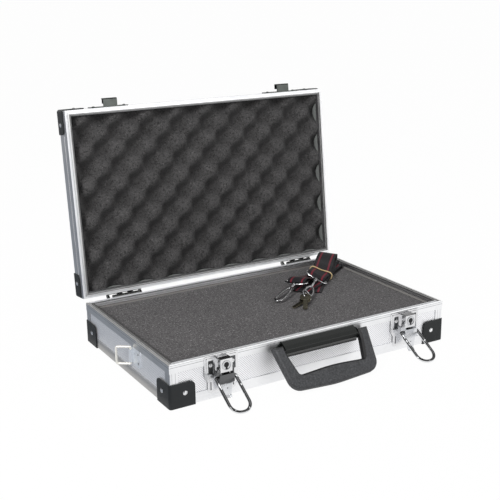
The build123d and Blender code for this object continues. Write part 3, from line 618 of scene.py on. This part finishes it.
def curvePoint(marks, share):
    # centripetal Catmull-Rom, this share of the way between the two middle marks of four
    knots = [0.0]
    for first, second in zip(marks, marks[1:]):
        knots.append(knots[-1] + math.sqrt((second - first).length))
    at = knots[1] + (knots[2] - knots[1]) * share
    for width in (1, 2):
        marks = [blendMarks(marks[k], marks[k + 1], knots[k], knots[k + width], at)
                 for k in range(len(marks) - 1)]
    return blendMarks(marks[0], marks[1], knots[1], knots[2], at)


def smoothPath(marks, step, closed=False):
    # (point, place along the marks) pairs, about a step apart
    count = len(marks)
    if closed:
        around = [marks[-1], *marks, marks[0], marks[1]]
    else:
        around = [marks[0] * 2 - marks[1], *marks, marks[-1] * 2 - marks[-2]]
    path = []
    for k in range(count if closed else count - 1):
        four = around[k:k + 4]
        parts = max(1, round((four[2] - four[1]).length / step))
        path += [(curvePoint(four, part / parts), k + part / parts) for part in range(parts)]
    if not closed:
        path.append((marks[-1].copy(), count - 1.0))
    return path


def turnedMesh(rings, around, places):
    # turned parts, in mm: rings are (radius, height) from seat to crown, places are (centre, outward)
    points, faces = [], []
    for centre, outward in places:
        turn = Vector(outward).to_track_quat("Z", "Y").to_matrix()
        start = len(points)
        for radius, height in rings:
            for k in range(around):
                angle = 2 * math.pi * k / around
                spot = Vector((radius * mm * math.cos(angle), radius * mm * math.sin(angle), height * mm))
                points.append(Vector(centre) * mm + turn @ spot)
        faces += ringFaces(len(rings), around, start)
        faces.append(tuple(start + (len(rings) - 1) * around + k for k in range(around)))
        faces.append(tuple(start + k for k in reversed(range(around))))
    return points, faces


def tubeMesh(marks, radius, around, step):
    # a round wire along a closed path, in mm
    marks = [Vector(mark) * mm for mark in marks]
    path = [point for point, at in smoothPath(marks, step * mm, closed=True)]
    centre = sum(path, Vector()) / len(path)
    points = []
    for k, point in enumerate(path):
        along = (path[(k + 1) % len(path)] - path[k - 1]).normalized()
        out = point - centre
        out = (out - along * out.dot(along)).normalized()
        side = along.cross(out)
        for j in range(around):
            angle = 2 * math.pi * j / around
            points.append(point + (out * math.cos(angle) + side * math.sin(angle)) * (radius * mm))
    return points, ringFaces(len(path), around, closed=True)


def joinParts(parts):
    points, faces = [], []
    for morePoints, moreFaces in parts:
        faces += [tuple(index + len(points) for index in face) for face in moreFaces]
        points += morePoints
    return points, faces


# --- egg-crate foam in the lid ---

# levels are those with the lid shut
eggCrate = {"pitch": 51.6 * mm, "peakX": 10.6 * mm, "peakY": 130.8 * mm, "peakZ": 64.2 * mm,
            "drop": 15 * mm, "soften": 0.85, "waves": 45, "wave": 0.9 * mm, "waveLow": -0.2 * mm,
            "backZ": 85.6 * mm, "gap": 0.15 * mm, "step": 2.2 * mm, "keep": 0.74}


def eggHeight(x, y):
    turns = 2 * math.pi / eggCrate["pitch"]
    wave = math.cos((x - eggCrate["peakX"]) * turns) * math.cos((y - eggCrate["peakY"]) * turns)
    softened = math.copysign(abs(wave) ** eggCrate["soften"], wave)
    wobble = noise.noise(Vector((x, y, 0)) * eggCrate["waves"]) * eggCrate["wave"]
    return eggCrate["peakZ"] + eggCrate["drop"] * (1 - softened) / 2 + max(wobble, eggCrate["waveLow"])


points, faces = padMesh(case["roomX"] - eggCrate["gap"], case["roomY"] - eggCrate["gap"], eggCrate["step"],
                        eggHeight, eggCrate["backZ"])
lidFoam = makePiece("lid_egg_crate", [openTurn @ Vector(point) for point in points],
                    [tuple(reversed(face)) for face in faces], "foamLid", "lid")
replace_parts(lidFoam, "lid_foam")
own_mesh(lidFoam)


# --- flat foam in the base ---

flatFoam = {"topZ": 52.0 * mm, "lowZ": 6.7 * mm, "edge": 3.0 * mm, "sink": 0.9 * mm, "gap": 0.15 * mm,
            "step": 3 * mm, "waves": 16, "wave": 0.25 * mm, "waveHigh": 0.15 * mm, "waveLevel": 4}


def flatHeight(x, y):
    inset = min(case["roomX"] - flatFoam["gap"] - abs(x), case["roomY"] - flatFoam["gap"] - abs(y))
    rounded = max(0.0, 1 - inset / flatFoam["edge"]) ** 2 * flatFoam["sink"]
    swell = noise.noise(Vector((x, y, flatFoam["waveLevel"])) * flatFoam["waves"]) * flatFoam["wave"]
    return flatFoam["topZ"] - rounded + min(swell, flatFoam["waveHigh"])


points, faces = padMesh(case["roomX"] - flatFoam["gap"], case["roomY"] - flatFoam["gap"], flatFoam["step"],
                        flatHeight, flatFoam["lowZ"])
baseFoam = makePiece("base_foam_slab", points, faces, "foamBase", "base")
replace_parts(baseFoam, "base_foam")
print("foam")


# --- folded shoulder strap ---

strap = {"wide": 30 * mm, "thick": 1.6 * mm, "crown": 0.25, "rib": 1.8 * mm, "ribDepth": 0.13,
         "step": 0.6 * mm, "keep": 0.66,
         "columns": (-15, -12.6, -10.5, -7.7, -3.9, 0, 4.0, 8.0, 10.8, 13, 15),      # across, in mm
         "stripes": (-9.1, 9.4), "stripeHalf": 1.5,                                  # in mm too
         "anchor": Vector((150, 60, 52.5)) * mm}                                     # on the base's foam

# each ribbon is a row of its middle, in mm, and the direction across it
strapRuns = {
    "strap_top_run": [
        (135.5, 53.5, 61.9, 0.62, -0.62, -0.48), (129.6, 47.6, 61.6, 0.62, -0.62, -0.48),
        (127.2, 45.6, 63.9, 0.62, -0.62, -0.48), (129.2, 47.3, 66.7, 0.62, -0.62, -0.48),
        (135.5, 52.6, 67.6, 0.65, -0.62, -0.44), (147.5, 62, 67.2, 0.745, -0.579, -0.331),
        (162, 77, 70.3, 0.74, -0.62, -0.22), (178, 95, 71.5, 0.743, -0.655, -0.14),
        (196, 112.5, 74.6, 0.734, -0.679, -0.10), (203, 119.3, 73, 0.734, -0.679, -0.10),
        (203, 119.3, 69, 0.734, -0.679, -0.12), (198, 114.5, 65.9, 0.734, -0.679, -0.13),
        (190, 107.5, 64.9, 0.734, -0.679, -0.10), (170, 86, 63.8, 0.734, -0.679, -0.06),
        (150, 66, 62.1, 0.734, -0.679, 0), (139, 56, 61.8, 0.734, -0.679, 0)],
    "strap_long_run": [
        (99.6, 49.6, 63.4, 0.515, -0.856, 0.068), (87.9, 42.4, 62.6, 0.515, -0.856, 0.068),
        (85.6, 41.0, 64.9, 0.515, -0.856, 0.068), (87.8, 42.3, 67.9, 0.515, -0.856, 0.068),
        (95.4, 47, 68.8, 0.515, -0.856, 0.068), (104, 51.6, 66.2, 0.53, -0.848, 0.03),
        (117, 57.5, 62.2, 0.60, -0.80, 0), (132, 61, 60.2, 0.68, -0.733, 0),
        (149, 66, 60.1, 0.734, -0.679, 0), (172, 85, 61.4, 0.734, -0.679, 0),
        (190, 103, 62.4, 0.734, -0.679, 0), (199, 111.6, 61.6, 0.734, -0.679, 0),
        (199, 111.6, 59.6, 0.734, -0.679, 0), (190, 104, 58.9, 0.734, -0.679, 0),
        (172, 84, 58.6, 0.734, -0.679, 0), (149, 64, 58.2, 0.734, -0.679, 0),
        (125, 46, 57.6, 0.70, -0.71, 0), (100, 34, 55.4, 0.60, -0.80, 0),
        (84, 24, 54.2, 0.56, -0.83, 0)],
    "strap_right_run": [
        (125, 44, 55.5, 0.56, -0.83, 0), (150, 65, 56.3, 0.66, -0.75, 0),
        (176, 87, 57.0, 0.70, -0.714, 0), (195, 99, 57.6, 0.70, -0.714, 0),
        (202.5, 104.5, 57, 0.70, -0.714, 0), (202.5, 104.5, 54.6, 0.70, -0.714, 0),
        (195, 99, 53.5, 0.70, -0.714, 0), (175, 86, 53.6, 0.70, -0.714, 0),
        (149, 64, 54.3, 0.66, -0.75, 0), (118, 38, 53.5, 0.56, -0.83, 0),
        (98, 16, 53.3, 0.56, -0.83, 0)],
}


def ribbonMesh(marks):
    acrosses = [Vector(mark[3:]).normalized() for mark in marks]
    path = smoothPath([Vector(mark[:3]) * mm for mark in marks], strap["step"])
    columns = [column * mm for column in strap["columns"]]
    half = strap["wide"] / 2
    points, length = [], 0.0
    for k, (point, at) in enumerate(path):
        before = path[max(0, k - 1)][0]
        after = path[min(len(path) - 1, k + 1)][0]
        along = (after - before).normalized()
        length += (after - before).length / 2
        low = min(int(at), len(marks) - 2)
        across = acrosses[low].lerp(acrosses[low + 1], at - low)
        across = (across - along * across.dot(along)).normalized()
        normal = along.cross(across)
        # thinner towards the edges, and ribbed along its length
        rib = 1 + strap["ribDepth"] * math.cos(2 * math.pi * length / strap["rib"])
        for way in (1, -1):
            for column in columns[::way]:
                crown = 1 - strap["crown"] * (column / half) ** 2
                points.append(point + across * column + normal * (way * strap["thick"] / 2 * crown * rib))
    around = 2 * len(columns)
    faces = ringFaces(len(path), around)
    middles = [(a + b) / 2 for a, b in zip(strap["columns"], strap["columns"][1:])]
    striped = {k for k, middle in enumerate(middles)
               if any(abs(middle - stripe) < strap["stripeHalf"] for stripe in strap["stripes"])}
    # the same columns on the underside, which are listed the other way round
    striped |= {around - 2 - k for k in striped}
    red = [index for index in range(len(faces)) if index % around in striped]
    faces += [tuple(reversed(range(around))), tuple(len(points) - around + k for k in range(around))]
    return points, faces, red


strapPieces = []
for name, marks in strapRuns.items():
    points, faces, red = ribbonMesh(marks)
    piece = makePiece(name, points, faces, "web", "strap", second="stripe", secondFaces=red)
    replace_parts(piece, "strap_webbing")
    strapPieces.append(piece)

# its middle line round the folds, in mm
rubberBand = {"radius": 1.0, "around": 10, "step": 1.2,
              "marks": ((135.8, 70.9, 74.3), (147.9, 61.5, 69.0), (159.6, 52.4, 63.9), (161.2, 51.0, 59.5),
                        (159.0, 52.6, 53.5), (148, 61.5, 53.0), (136.0, 72.5, 53.2), (133.6, 74.0, 58),
                        (133.3, 73.4, 68))}
bandPiece = makePiece("rubber_band", *tubeMesh(**rubberBand), "band", "strap")
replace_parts(bandPiece, "strap_band")
for piece in strapPieces + [bandPiece]:
    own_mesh(piece)
print("strap")


# --- snap hooks ---

# in mm: where the webbing's eye and the tip are, the direction of its bar, and where its loop starts
hooks = {
    "strap_hook_left": {"eye": (84, 40, 64.6), "tip": (27, 5, 55.6), "bar": (0.515, -0.856, 0.068),
                        "neck": 19},
    "strap_hook_right": {"eye": (126.0, 44.6, 63.8), "tip": (72, -9, 60.5), "bar": (0.62, -0.62, -0.48),
                         "neck": 40},
}
# in mm, along the hook and across it: the eye's outline, half of which is mirrored, the swivel's rings
# (radius, height), the loop's outline (share of the loop's length, step beyond that, across), and its
# catch, which starts this share of the way along
hookShape = {
    "wire": 1.55, "claw": 1.8, "around": 12, "step": 1.0, "eyeEnd": (5.6, 0),
    "eye": ((-4.5, 12), (-4.2, 17.0), (-1.6, 18.6), (1.6, 16.6), (4.4, 9)),
    "swivel": ((1.2, 5.0), (2.6, 5.4), (3.4, 7.2), (3.4, 8.6), (2.4, 10.0), (2.0, 11.0), (3.2, 12.0),
               (3.3, 13.6), (2.2, 15.0), (1.9, 17.0)),
    "loop": ((0, 4, 3.0), (0.35, 0, 5.6), (0.75, 0, 6.4), (1, -4, 5.2)),
    "catch": ((1.6, 0.0), (1.7, 1.0), (1.2, 2.2), (0.4, 2.5)), "catchShare": 0.3, "catchSide": -5.2,
}


def hookMesh(place):
    eye, tip = Vector(place["eye"]), Vector(place["tip"])
    run = (tip - eye).normalized()
    side = Vector(place["bar"])
    side = (side - run * side.dot(run)).normalized()
    neck = place["neck"]
    loopLength = (tip - eye).length - neck
    around, step = hookShape["around"], hookShape["step"]

    def spot(along, across):
        return eye + run * along + side * across

    outline = [*hookShape["eye"], hookShape["eyeEnd"], *[(x, -y) for x, y in reversed(hookShape["eye"])]]
    ring = tubeMesh([spot(x, y) for x, y in outline], hookShape["wire"], around, step)
    swivel = turnedMesh([*hookShape["swivel"], (hookShape["claw"], neck)], around, [(eye, run)])
    half = [(neck + loopLength * share + beyond, across) for share, beyond, across in hookShape["loop"]]
    outline = [(neck, 0), *[(x, -y) for x, y in half], (neck + loopLength, 0), *reversed(half)]
    claw = tubeMesh([spot(x, y) for x, y in outline], hookShape["claw"], around, step)
    seat = spot(neck + loopLength * hookShape["catchShare"], hookShape["catchSide"])
    catch = turnedMesh(hookShape["catch"], around, [(seat, -side)])
    return joinParts([ring, swivel, claw, catch])


for name, place in hooks.items():
    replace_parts(makePiece(name, *hookMesh(place), "hook", "strap"), "strap_hooks")
print("hooks")


# --- rivets, and painted shade in the recesses, the keyholes and the levers' holes ---

# turned heads, in mm: (radius, height) from seat to crown
heads = {"around": 20,
         "plate": ((2.8, 0.0), (2.8, 0.5), (2.3, 1.1), (1.5, 1.25), (1.2, 0.9), (0.4, 0.8)),
         "catch": ((2.4, 0.0), (2.4, 0.2), (2.0, 0.65), (1.2, 0.95), (0.4, 1.05)),
         "small": ((1.7, 0.0), (1.7, 0.15), (1.4, 0.5), (0.8, 0.7), (0.25, 0.75)),
         "hole": ((1.2, 0.0), (1.2, 0.04), (0.5, 0.06))}
toFront, toBack = (0, -1, 0), (0, 1, 0)


def makeHeads(name, kind, places, body, finish):
    # places are (centre in mm, outward), and those on the lid are where they are when it is shut
    points, faces = turnedMesh(heads[kind], heads["around"], places)
    if body == "lid":
        points = [openTurn @ point for point in points]
    makePiece(name, points, faces, finish, body)


def prismMesh(outline, front, thick):
    # outline is (x, z) and the prism reaches back from its front, all in mm
    count = len(outline)
    points = [Vector((x, front + back, z)) * mm for back in (0, thick) for x, z in outline]
    return points, [tuple(range(count)), tuple(reversed(range(count, 2 * count)))] + ringFaces(2, count)


# in mm, out from a latch's middle and without its lift
latchParts = {
    "places": {"left": (-150.5, 2.2), "right": (153, 0.8)},         # middle and lift
    "plateRivets": (16.3, -141.25, 46.6), "catchRivets": (24.5, -141.4, 76.5), "hole": (-156.1, 17.0),
    "recesses": (((12.5, 53.4), (20.1, 53.4), (20.1, 36.6), (12.5, 34.1)),
                 ((16.0, 12.6), (17.4, 12.6), (17.4, 23.9), (16.0, 23.9))),
    "recessY": (-141.25, 0.04), "keyY": (-154.5, 0.8),              # front and thickness
    "keyZ": 48.7, "keyR": 3.7, "keyTurns": range(-158, 159, 12),    # degrees round from the top
    "slitHalf": 1.5, "slitLow": 42.2,
}


def pairOf(middle, lift, across, y, z):
    return [((middle + way * across, y, z + lift), toFront) for way in (-1, 1)]


def keyOutline(middle, lift):
    turns = [math.radians(degrees) for degrees in latchParts["keyTurns"]]
    radius, level = latchParts["keyR"], latchParts["keyZ"] + lift
    outline = [(middle + math.sin(turn) * radius, level + math.cos(turn) * radius) for turn in turns]
    half, low = latchParts["slitHalf"], latchParts["slitLow"] + lift
    return outline + [(middle + half, low), (middle - half, low)]


for side, (middle, lift) in latchParts["places"].items():
    rivets = pairOf(middle, lift, *latchParts["plateRivets"])
    makeHeads(f"{side}_plate_rivets", "plate", rivets, "base", "rivet")
    # painted shade: a black disc lies in the lever's hole
    y, z = latchParts["hole"]
    makeHeads(f"{side}_lever_hole", "hole", [((middle, y, z + lift), toFront)], f"{side}_lever", "keyway")
    makeHeads(f"{side}_catch_rivets", "catch", pairOf(middle, 0, *latchParts["catchRivets"]), "lid", "catch")
    # painted shade: thin dark sheets lie on the floors of the plate's recesses
    recesses = [prismMesh([(middle + way * x, z + lift) for x, z in outline], *latchParts["recessY"])
                for way in (-1, 1) for outline in latchParts["recesses"]]
    makePiece(f"{side}_plate_recesses", *joinParts(recesses), "recess", "base", smooth=False)
    # painted shade: a black keyhole shape lies on the cylinder's face
    keyway = prismMesh(keyOutline(middle, lift), *latchParts["keyY"])
    makePiece(f"{side}_keyway", *keyway, "keyway", f"{side}_cylinder", smooth=False)

hingeRivets = {"middles": (-158, 158), "reach": (-19, 0, 19), "y": 141.4, "base": 40.5, "lid": 75.5}
for half in ("base", "lid"):
    places = [((middle + reach, hingeRivets["y"], hingeRivets[half]), toBack)
              for middle in hingeRivets["middles"] for reach in hingeRivets["reach"]]
    makeHeads(f"hinge_rivets_{half}", "small", places, half, "pin")

ringRivets = {"x": 225.3, "y": -46.5, "levels": (29.5, 43.0)}
places = [((way * ringRivets["x"], ringRivets["y"], z), (way, 0, 0)) for way in (-1, 1)
          for z in ringRivets["levels"]]
makeHeads("ring_plate_rivets", "small", places, "base", "steel")
print("fasteners")


# --- camera ---

camera = {"azimuth": -30.63, "elevation": 16.41, "roll": -0.69, "distance": 1.3695,
          "target": Vector((-0.0222, 0, 0.1449)), "focal": 944.0, "across": 500.0, "sensor": 36.0,
          "near": 0.05, "far": 50}


def cameraAxes():
    a, e, r = (math.radians(camera[word]) for word in ("azimuth", "elevation", "roll"))
    back = Vector((math.sin(a) * math.cos(e), -math.cos(a) * math.cos(e), math.sin(e)))
    right = (-back).cross(Vector((0, 0, 1))).normalized()
    up = right.cross(-back)
    return right * math.cos(r) + up * math.sin(r), up * math.cos(r) - right * math.sin(r), back


def makeCamera():
    right, up, back = cameraAxes()
    lens = bpy.data.cameras.new("camera")
    lens.sensor_width = camera["sensor"]
    lens.lens = camera["focal"] / camera["across"] * camera["sensor"]
    lens.clip_start = camera["near"]
    lens.clip_end = camera["far"]
    eye = bpy.data.objects.new("camera", lens)
    turn = Matrix((right, up, back)).transposed().to_4x4()
    eye.matrix_world = Matrix.Translation(camera["target"] + back * camera["distance"]) @ turn
    bpy.context.scene.collection.objects.link(eye)
    bpy.context.scene.camera = eye


makeCamera()


# --- studio ---

studio = {"world": 0.40, "floor": 0.86, "floorRough": 0.9, "floorWhite": 0.975, "reach": 60}
lamps = {
    "keyLamp": {"place": (-1.75, -0.95, 1.35), "aim": (0, 0, 0.12), "size": 0.7, "watts": 38},
    "frontLamp": {"place": (0.9, -2.0, 0.9), "aim": (0, -0.1, 0.05), "size": 1.4, "watts": 8},
    "topLamp": {"place": (0.0, -0.3, 2.4), "aim": (0, 0, 0.1), "size": 1.2, "watts": 12},
}
# grey cards that only mirrors see
cards = {
    "floorCard": {"tone": (0.27, 0.298, 0.34), "corners": ((-2.0, -0.45, 0.002), (-0.235, -0.45, 0.002),
                                                           (-0.235, 3.0, 0.002), (-2.0, 3.0, 0.002))},
    "leftCard": {"tone": (0.30, 0.31, 0.33), "corners": ((-1.7, -0.2, 0.002), (-1.7, 3.0, 0.002),
                                                         (-1.7, 3.0, 1.2), (-1.7, -0.2, 1.2))},
}
cameraCard = {"away": 2.4, "half": 1.7, "tone": (0.03, 0.03, 0.033)}


def isSeen(look):
    # 1 for the camera, for mirrors and for glass, 0 for the light that falls on things
    path = look.node("ShaderNodeLightPath").link.node
    seen = [Socket(look, path.outputs[f"Is {word} Ray"]) for word in ("Camera", "Glossy", "Transmission")]
    return (seen[0] + seen[1] + seen[2]).clamp()


def makeSheet(name, corners, look):
    mesh = bpy.data.meshes.new(name)
    mesh.from_pydata([tuple(corner) for corner in corners], [], [(0, 1, 2, 3)])
    mesh.materials.append(look.material)
    sheet = bpy.data.objects.new(name, mesh)
    bpy.context.scene.collection.objects.link(sheet)
    return sheet


def makeCard(name, corners, tone):
    look = Finish(name, Base_Color=(0.0, 0.0, 0.0), Roughness=1.0, Specular_IOR_Level=0.0,
                  Emission_Color=tone, Emission_Strength=1.0)
    card = makeSheet(name, corners, look)
    for word in ("camera", "diffuse", "shadow", "transmission"):
        setattr(card, f"visible_{word}", False)


def makeFloor():
    look = Finish("studioFloor", Base_Color=(studio["floor"],) * 3, Roughness=studio["floorRough"])
    glow = look.node("ShaderNodeEmission", {}, {"Color": (1.0, 1.0, 1.0), "Strength": 1.0})
    lit = Socket(look, look.principled.outputs[0])
    mixed = look.node("ShaderNodeMixShader", {}, {0: isSeen(look) * studio["floorWhite"], 1: lit, 2: glow})
    look.feed(look.tree.nodes["Material Output"].inputs["Surface"], mixed)
    reach = studio["reach"]
    corners = [(-reach, -reach, 0), (reach, -reach, 0), (reach, reach, 0), (-reach, reach, 0)]
    makeSheet("floor", corners, look)


def makeWorld():
    world = bpy.data.worlds.new("studio")
    world.use_nodes = True
    bpy.context.scene.world = world
    look = Shader(world.node_tree)
    inputs = world.node_tree.nodes["Background"].inputs
    look.feed(inputs["Strength"], look.blendNumber(isSeen(look), studio["world"], 1.0))
    look.feed(inputs["Color"], (1.0, 1.0, 1.0))


def makeLamp(name, place, aim, size, watts):
    light = bpy.data.lights.new(name, "AREA")
    light.shape = "DISK"
    light.size = size
    light.energy = watts
    lamp = bpy.data.objects.new(name, light)
    lamp.location = place
    lamp.rotation_euler = (Vector(aim) - Vector(place)).to_track_quat("-Z", "Y").to_euler()
    bpy.context.scene.collection.objects.link(lamp)


makeWorld()
makeFloor()
for name, lamp in lamps.items():
    makeLamp(name, **lamp)
for name, card in cards.items():
    makeCard(name, **card)
right, up, back = cameraAxes()
middle = camera["target"] + back * cameraCard["away"]
corners = [middle + right * cameraCard["half"] * across + up * cameraCard["half"] * above
           for across, above in ((-1, -1), (1, -1), (1, 1), (-1, 1))]
makeCard("cameraCard", corners, cameraCard["tone"])
bpy.context.scene.view_settings.view_transform = "Standard"
print("studio")
